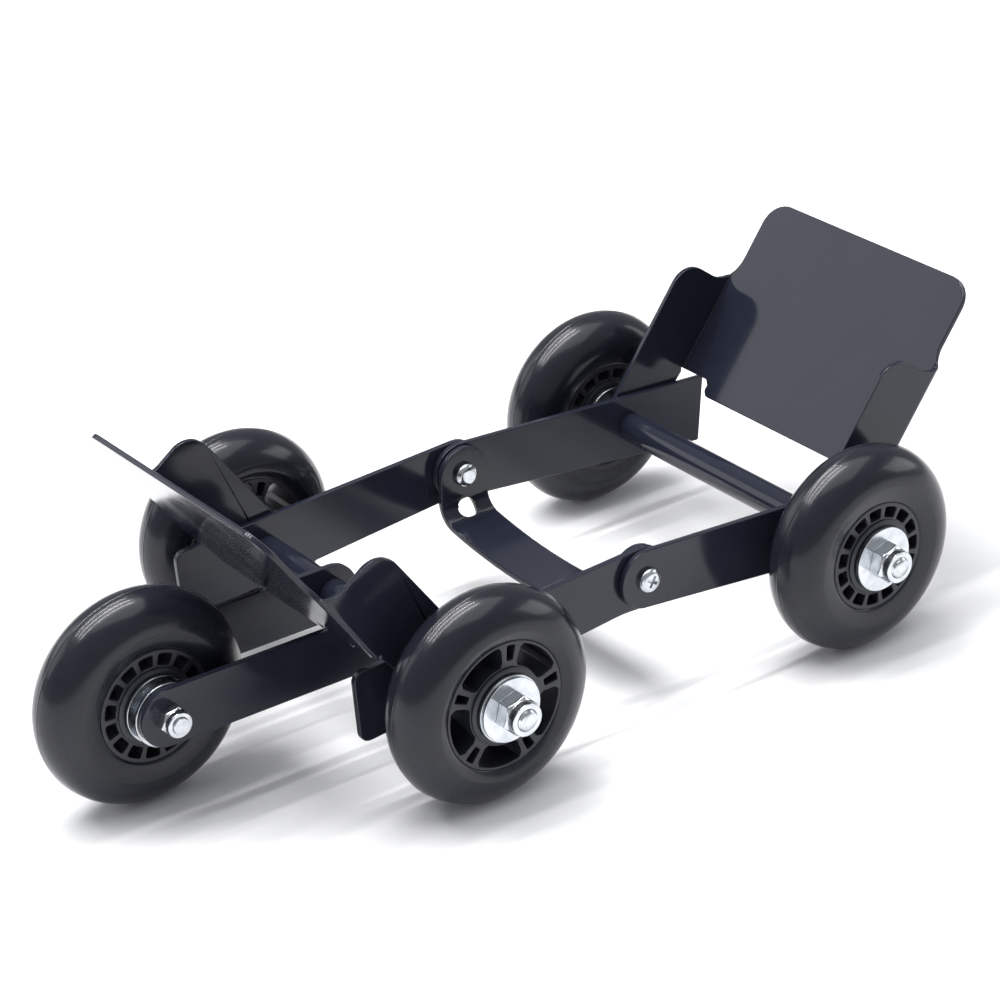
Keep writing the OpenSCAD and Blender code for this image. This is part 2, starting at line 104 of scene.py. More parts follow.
def add(
    tree: Tree,
    kind: str,
    inputs: dict[str | int, object] | None = None,
    **settings: object,
) -> bpy.types.Node:
    """Adds one node with its settings, values and links.

    Args:
        tree: the node tree it goes in.
        kind: the node's type name.
        inputs: for each input's name or number, the output socket linked to it or its value.
        settings: the node's own properties.

    Returns:
        The new node.
    """
    made = tree.nodes.new(kind)
    for name, value in settings.items():
        setattr(made, name, value)
    for key, value in (inputs or {}).items():
        if isinstance(value, Socket):
            tree.links.new(value, made.inputs[key])
        else:
            made.inputs[key].default_value = value
    return made


def node_centre(name: str) -> np.ndarray:
    """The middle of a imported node's box.

    Args:
        name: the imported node.

    Returns:
        X, Y and Z, in millimetres.
    """
    low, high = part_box(name)
    return (np.array(low) + np.array(high)) / 2 / MM


def show(mesh: Mesh, name: str, material: Material) -> Object:
    """Puts a mesh in the scene as one smooth-shaded piece with one material.

    Args:
        mesh: the piece's mesh.
        name: the piece's name.
        material: its only material.

    Returns:
        The new piece.
    """
    piece = bpy.data.objects.new(name, mesh)
    bpy.context.scene.collection.objects.link(piece)
    mesh.materials.clear()
    mesh.materials.append(material)
    mesh.polygons.foreach_set("use_smooth", np.ones(len(mesh.polygons), bool))
    return piece


def settle(piece: Object, body: str, slot: Slot, *nodes: str) -> None:
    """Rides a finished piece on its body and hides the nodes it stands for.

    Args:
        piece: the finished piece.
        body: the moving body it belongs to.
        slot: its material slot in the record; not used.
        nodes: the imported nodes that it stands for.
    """
    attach(piece, body)
    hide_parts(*nodes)
    LOG.info("%-28s on %-18s for %s", piece.name, body, ", ".join(nodes))


def break_edges(piece: Object, width: float, segments: int = 2) -> None:
    """Rounds a piece's sharp edges and evens its shading.

    Args:
        piece: the piece to finish.
        width: how far in from the edge the rounding starts, in millimetres.
        segments: how many faces the rounding takes.
    """
    bevel = piece.modifiers.new("broken_edges", "BEVEL")
    bevel.limit_method = "ANGLE"
    bevel.angle_limit = math.radians(32)
    bevel.width = width * MM
    bevel.segments = segments
    bevel.use_clamp_overlap = False
    even = piece.modifiers.new("even_shading", "WEIGHTED_NORMAL")
    even.keep_sharp = True
    even.weight = 80


def copied_mesh(node: str, name: str) -> Mesh:
    """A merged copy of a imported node, with its flat faces joined up.

    Args:
        node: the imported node.
        name: the new mesh's name.

    Returns:
        The mesh, in metres, where the node is.
    """
    work = bmesh.new()
    work.from_mesh(frame["nodes"][node].data)
    bmesh.ops.remove_doubles(work, verts=work.verts, dist=0.002 * MM)
    bmesh.ops.dissolve_limit(
        work, angle_limit=math.radians(0.3), verts=work.verts, edges=work.edges
    )
    mesh = bpy.data.meshes.new(name)
    work.to_mesh(mesh)
    work.free()
    return mesh


def dress(
    node: str, name: str, material: Material, slot: Slot, width: float, segments: int = 2
) -> None:
    """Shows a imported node's copy with broken edges, on the body that the node is on.

    Args:
        node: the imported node.
        name: the piece's name.
        material: its material.
        slot: its material slot in the record.
        width: how far in from the edge the rounding starts, in millimetres.
        segments: how many faces the rounding takes.
    """
    piece = show(copied_mesh(node, name), name, material)
    break_edges(piece, width, segments)
    settle(piece, NODE_BODY[node], slot, node)


def turned(
    profile: tuple[np.ndarray, np.ndarray], centre: tuple[float, float], name: str, steps: int = 96
) -> Mesh:
    """A closed profile turned about an axis parallel to Y.

    A point at angle t of a profile point (r, y) is (cx + r cos t, y, cz + r sin t). The profile
    is closed, so row i joins row i + 1 and the last joins the first, and the same holds round
    the axis. Its UV map gives the share of a turn and the share of the profile's length.

    Args:
        profile: its radii and its heights along Y, in millimetres.
        centre: the axis's X and Z, in millimetres.
        name: the mesh's name.
        steps: how many steps go round the axis.

    Returns:
        The mesh, in metres.
    """
    angle = np.linspace(0, 2 * math.pi, steps, endpoint=False)
    radii, heights = profile
    if np.sum(radii * np.roll(heights, -1) - np.roll(radii, -1) * heights) < 0:
        radii, heights = radii[::-1], heights[::-1]
    rows = len(radii)
    x = centre[0] + np.outer(radii, np.cos(angle))
    z = centre[1] + np.outer(radii, np.sin(angle))
    grid = np.stack([x, np.repeat(heights[:, None], steps, 1), z], -1)
    i, j = np.meshgrid(np.arange(rows), np.arange(steps), indexing="ij")
    row, ahead, beside = i * steps, (i + 1) % rows * steps, (j + 1) % steps
    quads = np.stack([row + j, ahead + j, ahead + beside, row + beside], -1)
    run = np.concatenate([[0], np.cumsum(np.hypot(np.diff(radii), np.diff(heights)))])
    run = np.append(run, run[-1] + math.hypot(radii[0] - radii[-1], heights[0] - heights[-1]))
    low, high = run[i] / run[-1], run[i + 1] / run[-1]
    left, right = j / steps, (j + 1) / steps
    corners = [np.stack(pair, -1) for pair in ((left, low), (left, high), (right, high), (right, low))]
    mesh = bpy.data.meshes.new(name)
    mesh.from_pydata((grid.reshape(-1, 3) * MM).tolist(), [], quads.reshape(-1, 4).tolist())
    layer = mesh.uv_layers.new(name="UVMap")
    layer.data.foreach_set("uv", np.stack(corners, 2).astype(np.float32).ravel())
    mesh.update()
    return mesh


def arc(
    centre: tuple[float, float], radii: tuple[float, float], degrees: np.ndarray
) -> np.ndarray:
    """Points of an ellipse about a centre.

    Args:
        centre: the ellipse's middle.
        radii: its two half axes, along the first and the second coordinate.
        degrees: the angles of the points.

    Returns:
        The points, two coordinates each.
    """
    a = np.radians(degrees)
    return np.stack([centre[0] + radii[0] * np.cos(a), centre[1] + radii[1] * np.sin(a)], -1)


def inside(points: np.ndarray, loop: np.ndarray) -> np.ndarray:
    """Which points lie inside a closed loop, by counting crossings along the first axis.

    Args:
        points: the points to test.
        loop: the closed loop's points.

    Returns:
        True for each point inside.
    """
    x, y = points[:, :1], points[:, 1:]
    x0, y0 = loop.T
    x1, y1 = np.roll(loop, -1, 0).T
    spans = (y0 > y) != (y1 > y)
    rise = np.where(y1 == y0, 1.0, y1 - y0)
    return np.sum(spans & (x < x0 + (y - y0) * (x1 - x0) / rise), 1) % 2 == 1


def cut_sheet(
    loops: list[np.ndarray], bends: list[np.ndarray]
) -> tuple[np.ndarray, list[list[int]]]:
    """Cuts a flat blank along closed loops and creases it along its bend lines.

    Args:
        loops: the outline and then its holes, each as points of a closed loop.
        bends: the two ends of each bend line.

    Returns:
        The blank's points and its faces, joined up between the bends, with the holes left open.
    """
    points, edges, start = [], [], 0
    for loop in loops:
        n = np.arange(len(loop))
        points.append(loop)
        edges.append(np.stack([n, (n + 1) % len(loop)], -1) + start)
        start += len(loop)
    for bend in bends:
        points.append(bend)
        edges.append(np.array([[start, start + 1]]))
        start += 2
    flat = [Vector(p) for p in np.concatenate(points).tolist()]
    lines = np.concatenate(edges).tolist()
    verts, sides, faces, _, kept, _ = delaunay_2d_cdt(flat, lines, [], WHOLE_HULL, SAME_POINT)
    place = np.array([v[:] for v in verts])
    middle = place[np.array(faces)].mean(1)
    solid = ~np.any([inside(middle, loop) for loop in loops[1:]], 0)
    work = bmesh.new()
    corners = [work.verts.new((*p, 0)) for p in place.tolist()]
    for face, whole in zip(faces, solid):
        if whole:
            work.faces.new([corners[i] for i in face])
    for side, source in zip(sides, kept):
        edge = work.edges.get([corners[i] for i in side])
        if edge and source:
            edge.seam = True
    bmesh.ops.dissolve_limit(
        work, angle_limit=0.01, verts=work.verts, edges=work.edges, delimit={"SEAM"}
    )
    bmesh.ops.delete(work, geom=[v for v in work.verts if not v.link_faces], context="VERTS")
    work.verts.index_update()
    place = np.array([v.co[:2] for v in work.verts])
    joined = [[v.index for v in face.verts] for face in work.faces]
    work.free()
    return place, joined


def thicken(piece: Object, thickness: float, width: float) -> None:
    """Gives a sheet its thickness, half on each side, and breaks its edges.

    Args:
        piece: the sheet's middle surface.
        thickness: the sheet's thickness, in millimetres.
        width: how far in from the edge the rounding starts, in millimetres.
    """
    thick = piece.modifiers.new("sheet_thickness", "SOLIDIFY")
    thick.thickness = thickness * MM
    thick.offset = 0
    thick.use_even_offset = True
    break_edges(piece, width)


# ---------- finishes ----------


def empty_material(name: str) -> tuple[Material, Tree, Socket]:
    """Starts a material whose patterns follow the object's own coordinates.

    Args:
        name: the material's name.

    Returns:
        The material, its empty node tree and the coordinates' socket.
    """
    made = bpy.data.materials.new(name)
    made.use_nodes = True
    made.node_tree.nodes.clear()
    place = add(made.node_tree, "ShaderNodeTexCoord").outputs["Object"]
    return made, made.node_tree, place


def noise(
    tree: Tree, place: Socket, size_mm: float, detail: float, roughness: float = 0.5
) -> Socket:
    """Adds a noise whose patches are about as wide as a real length.

    Args:
        tree: the node tree.
        place: the coordinates it follows, in metres.
        size_mm: the patches' width, in millimetres.
        detail: how many finer octaves it has.
        roughness: how strong each finer octave is beside the one before.

    Returns:
        The noise, from 0 to 1.
    """
    scale = METRE_MM / size_mm
    values = {"Vector": place, "Scale": scale, "Detail": detail, "Roughness": roughness}
    return add(tree, "ShaderNodeTexNoise", values).outputs["Fac"]


def blend(tree: Tree, share: Socket, first: str, second: str) -> Socket:
    """Adds a mix of two colours.

    Args:
        tree: the node tree.
        share: how much of the second colour shows.
        first: the first colour, as "#rrggbb".
        second: the second colour.

    Returns:
        The mixed colour.
    """
    values = {0: share, 6: linear(first), 7: linear(second)}
    return add(tree, "ShaderNodeMix", values, data_type="RGBA").outputs[2]


def spread(
    tree: Tree, value: Socket, low: float, high: float, across: tuple[float, float] = (0.0, 1.0)
) -> Socket:
    """Adds a map of a pattern onto a range.

    Args:
        tree: the node tree.
        value: the pattern.
        low: the range's start.
        high: its end.
        across: the pattern's values that give the start and the end.

    Returns:
        The mapped value.
    """
    values = {"From Min": across[0], "From Max": across[1], "To Min": low, "To Max": high}
    return add(tree, "ShaderNodeMapRange", {"Value": value, **values}).outputs[0]


def relief(
    tree: Tree, height: Socket, strength: float, depth_mm: float, over: Socket | None = None
) -> Socket:
    """Adds a bump as deep as a real length.

    Args:
        tree: the node tree.
        height: the pattern.
        strength: how much of it shows.
        depth_mm: its depth, in millimetres.
        over: the normal that it is laid over.

    Returns:
        The new normal.
    """
    values = {"Height": height, "Strength": strength, "Distance": depth_mm * MM}
    if over is not None:
        values["Normal"] = over
    return add(tree, "ShaderNodeBump", values).outputs[0]


def surface(tree: Tree, inputs: dict[str, object]) -> None:
    """Adds the surface shader and the output.

    Args:
        tree: the node tree.
        inputs: the shader's inputs, as sockets to link or as constants.
    """
    shader = add(tree, "ShaderNodeBsdfPrincipled", inputs)
    add(tree, "ShaderNodeOutputMaterial", {"Surface": shader.outputs[0]})


@dataclass(frozen=True)
class StoveEnamel:
    """Gloss black stoving enamel, sprayed on blanked steel sheet and baked.

    It gives the eye a deep, slightly blue black with clear reflections, a fine orange peel, a
    long faint wave where the sheet was pressed and soft smears where hands have dulled it.
    """

    deep: str = "#1d202b"
    thin: str = "#252835"
    roughness: tuple[float, float] = (0.06, 0.17)
    peel_mm: float = 1.3
    peel_depth_mm: float = 0.02
    wave_mm: float = 45.0
    wave_depth_mm: float = 0.2
    smear_mm: float = 22.0

    def material(self) -> Material:
        """Builds the material.

        Returns:
            The node material.
        """
        made, tree, place = empty_material("black_stove_enamel")
        smear = noise(tree, place, self.smear_mm, 3.0, 0.45)
        wave = noise(tree, place, self.wave_mm, 1.0)
        peel = noise(tree, place, self.peel_mm, 1.0)
        pressed = relief(tree, wave, 0.4, self.wave_depth_mm)
        surface(
            tree,
            {
                "Base Color": blend(tree, smear, self.deep, self.thin),
                "Roughness": spread(tree, smear, *self.roughness, (0.2, 0.8)),
                "Normal": relief(tree, peel, 0.12, self.peel_depth_mm, pressed),
                "Specular IOR Level": 0.38,
                "IOR": 1.5,
            },
        )
        return made


@dataclass(frozen=True)
class CastPolyurethane:
    """Black cast polyurethane, poured in a polished mould round the core.

    It gives the eye a soft navy black with a satin sheen, broad highlights on the shoulder, very
    fine rings where the mould was turned and a dusting of matt patches on the tread.
    """

    body: str = "#171922"
    bloom: str = "#1e2029"
    roughness: tuple[float, float] = (0.19, 0.3)
    mould_ring_mm: float = 0.9
    ring_depth_mm: float = 0.012
    patch_mm: float = 9.0
    grain_mm: float = 0.35
    grain_depth_mm: float = 0.02
    profile_mm: float = 66.0

    def material(self) -> Material:
        """Builds the material.

        Returns:
            The node material.
        """
        made, tree, place = empty_material("black_cast_polyurethane")
        patch = noise(tree, place, self.patch_mm, 5.0, 0.65)
        own_map = add(tree, "ShaderNodeUVMap", uv_map="UVMap").outputs[0]
        across = add(tree, "ShaderNodeSeparateXYZ", {"Vector": own_map}).outputs["Y"]
        phase_step = 2 * math.pi * self.profile_mm / self.mould_ring_mm
        phase = add(tree, "ShaderNodeMath", {0: across, 1: phase_step}, operation="MULTIPLY")
        rings = add(tree, "ShaderNodeMath", {0: phase.outputs[0]}, operation="SINE").outputs[0]
        ringed = relief(tree, rings, 0.1, self.ring_depth_mm)
        grain = noise(tree, place, self.grain_mm, 2.0)
        surface(
            tree,
            {
                "Base Color": blend(tree, patch, self.body, self.bloom),
                "Roughness": spread(tree, patch, *self.roughness, (0.2, 0.8)),
                "Normal": relief(tree, grain, 0.12, self.grain_depth_mm, ringed),
                "Specular IOR Level": 0.26,
                "IOR": 1.5,
                "Coat Weight": 0.22,
                "Coat Roughness": 0.08,
            },
        )
        return made


@dataclass(frozen=True)
class MouldedNylon:
    """Black glass-filled nylon, injection moulded in a spark-eroded tool.

    It gives the eye a neutral satin black with a fine even grain and slightly paler flow marks.
    """

    body: str = "#1b1d26"
    flow: str = "#24262f"
    roughness: tuple[float, float] = (0.38, 0.52)
    grain_mm: float = 0.3
    grain_depth_mm: float = 0.02
    flow_mm: float = 6.0

    def material(self) -> Material:
        """Builds the material.

        Returns:
            The node material.
        """
        made, tree, place = empty_material("black_moulded_nylon")
        flow = noise(tree, place, self.flow_mm, 3.0)
        cells = {"Vector": place, "Scale": METRE_MM / self.grain_mm}
        grain = add(tree, "ShaderNodeTexVoronoi", cells, feature="SMOOTH_F1").outputs["Distance"]
        surface(
            tree,
            {
                "Base Color": blend(tree, flow, self.body, self.flow),
                "Roughness": spread(tree, flow, *self.roughness),
                "Normal": relief(tree, grain, 0.2, self.grain_depth_mm),
                "IOR": 1.53,
            },
        )
        return made


@dataclass(frozen=True)
class ZincPlate:
    """Bright zinc plated over turned or cold-headed steel.

    It gives the eye a white, slightly cool metal with crisp reflections, faint turned rings on
    faces square to the axle and a cloudy variation in gloss where the plating is thicker. Its
    darker cloud colour is painted reflection: dark patches in the base colour that stand in for
    the dark surroundings mirrored in the metal.
    """

    name: str
    centre: tuple[float, float]
    bright: str = "#e6e9ec"
    # painted reflection: this darker colour stands in for dark surroundings mirrored in the plate
    cloud_and_painted_reflection: str = "#a9afb6"
    roughness: tuple[float, float] = (0.13, 0.27)
    ring_mm: float = 0.45
    ring_depth_mm: float = 0.01
    cloud_and_painted_reflection_mm: float = 3.5

    def material(self) -> Material:
        """Builds the material, with its rings about the axle that the piece sits on.

        Returns:
            The node material.
        """
        made, tree, place = empty_material(f"bright_zinc_plate_{self.name}")
        shift = (-self.centre[0] * MM, 0.0, -self.centre[1] * MM)
        centred = add(tree, "ShaderNodeMapping", {"Vector": place, "Location": shift}).outputs[0]
        # a ring wave's phase is 20 times its scale times the distance from the axis
        rings = add(
            tree,
            "ShaderNodeTexWave",
            {
                "Vector": centred,
                "Scale": 2 * math.pi / (20 * self.ring_mm * MM),
                "Distortion": 0.6,
                "Detail": 1.0,
            },
            wave_type="RINGS",
            rings_direction="Y",
        ).outputs["Fac"]
        # this noise lays painted reflection into the colour as dark patches and varies the gloss as
        # thicker plating would
        cloud_and_painted_reflection = noise(tree, place, self.cloud_and_painted_reflection_mm, 3.0)
        surface(
            tree,
            {
                "Base Color": blend(tree, cloud_and_painted_reflection, self.bright, self.cloud_and_painted_reflection),
                "Metallic": 1.0,
                "Roughness": spread(tree, cloud_and_painted_reflection, *self.roughness, (0.3, 0.7)),
                "Normal": relief(tree, rings, 0.12, self.ring_depth_mm),
            },
        )
        return made


@dataclass(frozen=True)
class GroundSteel:
    """Hardened bearing steel, ground and oiled.

    It gives the eye a darker, warmer grey than the plated parts, with very fine grinding grain.
    """

    body: str = "#8d9095"
    oiled: str = "#5f6268"
    roughness: tuple[float, float] = (0.22, 0.42)
    film_mm: float = 5.0
    grain_mm: float = 0.4

    def material(self) -> Material:
        """Builds the material.

        Returns:
            The node material.
        """
        made, tree, place = empty_material("ground_bearing_steel")
        film = noise(tree, place, self.film_mm, 3.0)
        grain = noise(tree, place, self.grain_mm, 2.0)
        surface(
            tree,
            {
                "Base Color": blend(tree, film, self.body, self.oiled),
                "Metallic": 1.0,
                "Roughness": spread(tree, grain, *self.roughness),
            },
        )
        return made


@dataclass
class Finishes:
    """Every material of the dolly, built once."""

    enamel: Material = field(default_factory=lambda: StoveEnamel().material())
    urethane: Material = field(default_factory=lambda: CastPolyurethane().material())
    nylon: Material = field(default_factory=lambda: MouldedNylon().material())
    ground: Material = field(default_factory=lambda: GroundSteel().material())
    zinc: dict[str, Material] = field(default_factory=dict)

    def plated(self, name: str, centre: tuple[float, float]) -> Material:
        """The zinc plate whose rings are about one axle, built when first asked for.

        Args:
            name: the axle's name.
            centre: the axle's X and Z, in millimetres.

        Returns:
            The material.
        """
        if name not in self.zinc:
            self.zinc[name] = ZincPlate(name, centre).material()
        return self.zinc[name]


# ---------- folded trays ----------


@dataclass
class FoldedTray:
    """One tray: a sloping plate with an ear folded up on each side, from one sheet.

    The sheet's middle surface is a function of two lengths on the flat blank: s up the slope and
    t across it. Past the fold line the blank turns through a quarter circle of the bend radius
    and then runs straight up as the ear.
    """

    name: str
    body: str
    rod: str
    forward: int
    plate_len: float
    ear_top: float
    notches: tuple[float, ...] = ()
    sheet_t: float = 2.0
    slope: float = math.radians(53.5)
    foot: tuple[float, float] = (26.2, 12.1)
    half_w: float = 56.0
    ear_depth: float = 26.0
    bend_r: float = 1.6
    blend: float = 12.0
    corner: float = 10.0
    fold_foot: float = 5.0
    tongue: tuple[float, float] = (42.0, -1.3)
    tongue_r: float = 3.0
    tongue_step: float = 2.0
    relief: tuple[float, float] = (1.6, 0.9)
    notch_half: float = 2.5
    notch_top: float = 3.0
    bore_r: float = 4.05
    edge: float = 0.35

    def __post_init__(self) -> None:
        """Works out where the ears stand and where the fold starts and ends on the flat blank."""
        low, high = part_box(self.name)
        self.mid_y = (low.y + high.y) / 2 / MM
        self.fold_w = (high.y - low.y) / 2 / MM - self.sheet_t / 2 - self.bend_r
        self.fold_end = self.fold_w + self.bend_r * math.pi / 2
        self.lines = np.linspace(self.fold_w, self.fold_end, 6)
        self.rise = self.bend_r - self.sheet_t / 2
        cos, sin = math.cos(self.slope), math.sin(self.slope)
        self.axle_s = -self.foot[0] * cos - self.foot[1] * sin
        self.axle_p = self.foot[0] * sin - self.foot[1] * cos
        self.blend_t = self.blank_t(self.half_w + self.blend - self.fold_w - self.bend_r)
        share = (self.blend_t - self.lines) / (self.blend_t - self.half_w)
        self.cross = np.degrees(np.arcsin(share)) + 180

    def blank_t(self, depth: float) -> float:
        """The length across the flat blank of a point of the ear.

        Args:
            depth: how far the point stands off the plate, in millimetres.

        Returns:
            Its t on the blank.
        """
        return self.fold_end + depth - self.rise

    def side_edge(self) -> np.ndarray:
        """The blank's edge on one side, from the tongue's corner round the ear to the plate's top.

        Returns:
            Points (s, t) with t positive.
        """
        tongue_w, tongue_s = self.tongue
        foot_r = self.ear_depth - self.axle_p
        edge_t = self.blank_t(self.ear_depth)
        top, c, r = self.ear_top, self.corner, self.tongue_r
        foot, step = self.fold_foot, self.tongue_step
        blend = np.unique(np.concatenate([np.linspace(180, 270, 15), self.cross]).round(6))
        return np.concatenate(
            [
                arc((tongue_s + r, tongue_w - r), (r, r), np.linspace(180, 90, 7)),
                [[foot - step, tongue_w], [foot, tongue_w + step]],
                np.stack([np.full_like(self.lines, foot), self.lines], -1),
                [[foot - self.relief[0], self.fold_end - self.relief[1]]],
                arc(
                    (self.axle_s, self.blank_t(self.axle_p)),
                    (foot_r, foot_r),
                    np.linspace(270, 90, 25),
                ),
                arc((top - c, edge_t - c), (c, c), np.linspace(90, 0, 10)),
                arc(
                    (top + self.blend, self.blend_t), (self.blend, self.blend_t - self.half_w), blend
                ),
                arc((self.plate_len - c, self.half_w - c), (c, c), np.linspace(90, 0, 10)),
            ]
        )

    def foot_edge(self) -> np.ndarray:
        """The tongue's lower edge from -t to +t, with a slot wherever a bar passes.

        Returns:
            Points (s, t), without the rounded corners at its two ends.
        """
        points = []
        half, low, top = self.notch_half, self.tongue[1], self.notch_top
        for t in sorted(self.notches):
            points += [[low, t - half], [top, t - half], [top, t + half], [low, t + half]]
        return np.array(points).reshape(-1, 2)

    def blank(self) -> tuple[np.ndarray, list[list[int]]]:
        """The flat blank, creased along the bends, with its axle holes left open.

        Returns:
            The points (s, t) and the faces.
        """
        right = self.side_edge()
        loops = [np.concatenate([right[::-1] * [1, -1], self.foot_edge(), right])]
        top = self.ear_top + self.blend * (1 + np.cos(np.radians(self.cross)))
        bends = []
        for sign in (-1, 1):
            hole = (self.axle_s, sign * self.blank_t(self.axle_p))
            loops.append(arc(hole, (self.bore_r, self.bore_r), np.arange(0, 360, 7.5)))
            for t, s in zip(self.lines, top):
                bends.append(np.array([[self.fold_foot, sign * t], [s, sign * t]]))
        return cut_sheet(loops, bends)

    def fold(self, flat: np.ndarray) -> np.ndarray:
        """Folds points of the blank and puts them on the axle.

        Up to the fold line a point keeps its t. Over the bend it goes round a quarter circle of
        the bend radius, and beyond it runs up as the ear; the ear's foot, which the relief
        frees from the plate, is flat down to its edge.

        Args:
            flat: points (s, t) of the blank.

        Returns:
            Points in the row frame, in millimetres.
        """
        s, t = flat[:, 0], np.abs(flat[:, 1])
        turn = np.clip((t - self.fold_w) / self.bend_r, 0, math.pi / 2)
        across = np.minimum(t, self.fold_w) + self.bend_r * np.sin(turn)
        height = self.bend_r * (1 - np.cos(turn)) + np.maximum(t - self.fold_end, 0)
        free = (s < self.fold_foot - 1e-6) & (t > self.fold_w)
        across = np.where(free, self.fold_w + self.bend_r, across)
        height = np.where(free, self.bend_r + t - self.fold_end, height) - self.sheet_t / 2
        across = across * np.sign(flat[:, 1]) + self.mid_y
        cos, sin = math.cos(self.slope), math.sin(self.slope)
        out = self.foot[0] + s * cos - height * sin
        up = self.foot[1] + s * sin + height * cos
        axle = node_centre(self.rod)
        return np.stack([axle[0] + self.forward * out, across, axle[2] + up], -1)

    def build(self, finishes: Finishes) -> None:
        """Makes the tray and rides it on its body.

        Args:
            finishes: the dolly's materials.
        """
        flat, faces = self.blank()
        mesh = bpy.data.meshes.new(f"{self.name}_sheet")
        mesh.from_pydata((self.fold(flat) * MM).tolist(), [], faces)
        if self.forward < 0:
            mesh.flip_normals()
        piece = show(mesh, f"{self.name}_sheet", finishes.enamel)
        thicken(piece, self.sheet_t, self.edge)
        settle(piece, self.body, Slot.PAINT, self.name)


# ---------- bars, strap and hinge ----------


@dataclass
class BlankedBars:
    """The four arms and the two fork bars, blanked from 2.5 mm flat bar."""

    edge: float = 0.4
    nodes: tuple[str, ...] = tuple(
        f"{side}_{bar}" for bar in ("front_arm", "rear_arm", "fork_bar") for side in ("near", "far")
    )

    def build(self, finishes: Finishes) -> None:
        """Makes each bar with its press-broken edges.

        Args:
            finishes: the dolly's materials.
        """
        for node in self.nodes:
            dress(node, f"{node}_bar", finishes.enamel, Slot.PAINT, self.edge)


@dataclass
class SaddleStrap:
    """The bent strap that hangs from the hinge and carries the tyre at mid-span.

    Its flat blank has w across the strap and u along it, from the middle. The middle surface
    follows a large arc, a tight bend and an upright leg on each side.
    """

    width: float = 22.0
    thickness: float = 2.5
    drop: float = 22.5
    arc_r: float = 235.0
    bend_r: float = 9.25
    pin_r: float = 2.55
    spare_r: float = 4.0
    spare_stretch: float = 0.4
    spare_drop: float = 14.5
    edge: float = 0.5

    def __post_init__(self) -> None:
        """Works out where the bends start and end along the blank."""
        low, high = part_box("saddle_strap")
        self.leg_y = (high.y - low.y) / 2 / MM - self.thickness / 2
        self.low_a = math.asin((self.leg_y - self.bend_r) / (self.arc_r - self.bend_r))
        self.bend_z = self.arc_r - self.drop - (self.arc_r - self.bend_r) * math.cos(self.low_a)
        self.bend_u = self.arc_r * self.low_a
        self.leg_u = self.bend_u + self.bend_r * (math.pi / 2 - self.low_a)
        self.pin_u = self.leg_u - self.bend_z

    def blank(self) -> tuple[np.ndarray, list[list[int]]]:
        """The flat strap with its round ends, pin holes and spare holes.

        Returns:
            The points (w, u) and the faces.
        """
        half = self.width / 2
        bends = np.concatenate(
            [np.linspace(0, self.bend_u, 9), np.linspace(self.bend_u, self.leg_u, 13)[1:]]
        )
        line = np.concatenate([-bends[:0:-1], bends])
        side = np.stack([np.full_like(line, half), line], -1)
        end = np.linspace(0, 180, 25)
        loops = [
            np.concatenate(
                [
                    side,
                    arc((0, self.pin_u), (half, half), end),
                    side[::-1] * [-1, 1],
                    arc((0, -self.pin_u), (half, half), end + 180),
                ]
            )
        ]
        turn = math.asin((self.spare_drop + self.bend_z) / self.bend_r)
        spare_u = self.leg_u - self.bend_r * turn
        spare_long = self.spare_r + self.spare_stretch
        round_ = np.arange(0, 360, 10)
        for sign in (-1, 1):
            loops.append(arc((0, sign * self.pin_u), (self.pin_r, self.pin_r), round_))
            loops.append(arc((0, sign * spare_u), (self.spare_r, spare_long), round_))
        return cut_sheet(loops, [np.array([[-half, u], [half, u]]) for u in line])

    def bend(self, flat: np.ndarray) -> np.ndarray:
        """Bends points of the blank and hangs them from the hinge.

        Args:
            flat: points (w, u) of the blank.

        Returns:
            Points in the row frame, in millimetres.
        """
        u = np.abs(flat[:, 1])
        low = np.minimum(u, self.bend_u) / self.arc_r
        turn = self.low_a + np.clip((u - self.bend_u) / self.bend_r, 0, math.pi / 2 - self.low_a)
        y = self.arc_r * np.sin(low) + self.bend_r * (np.sin(turn) - math.sin(self.low_a))
        z = -self.drop + self.arc_r * (1 - np.cos(low))
        z += self.bend_r * (math.cos(self.low_a) - np.cos(turn)) + np.maximum(u - self.leg_u, 0)
        pin = node_centre("hinge_screws")
        return np.stack([pin[0] + flat[:, 0], y * np.sign(flat[:, 1]), pin[2] + z], -1)

    def build(self, finishes: Finishes) -> None:
        """Makes the strap from its blank.

        Args:
            finishes: the dolly's materials.
        """
        flat, faces = self.blank()
        mesh = bpy.data.meshes.new("bent_saddle_strap")
        mesh.from_pydata((self.bend(flat) * MM).tolist(), [], faces)
        piece = show(mesh, "bent_saddle_strap", finishes.enamel)
        thicken(piece, self.thickness, self.edge)
        settle(piece, "strap_body", Slot.PAINT, "saddle_strap")


@dataclass
class HingeHardware:
    """The two hinge screws with their washers and lock nuts."""

    screw_edge: float = 0.15
    nut_edge: float = 0.2

    def build(self, finishes: Finishes) -> None:
        """Makes the screws, washers and nuts at the mid-span hinge.

        Args:
            finishes: the dolly's materials.
        """
        middle = node_centre("hinge_screws")
        zinc = finishes.plated("hinge", (middle[0], middle[2]))
        for node, edge in (
            ("hinge_screws", self.screw_edge),
            ("hinge_washers", self.screw_edge),
            ("hinge_nuts", self.nut_edge),
        ):
            dress(node, f"plated_{node}", zinc, Slot.ZINC, edge)


# ---------- axles ----------


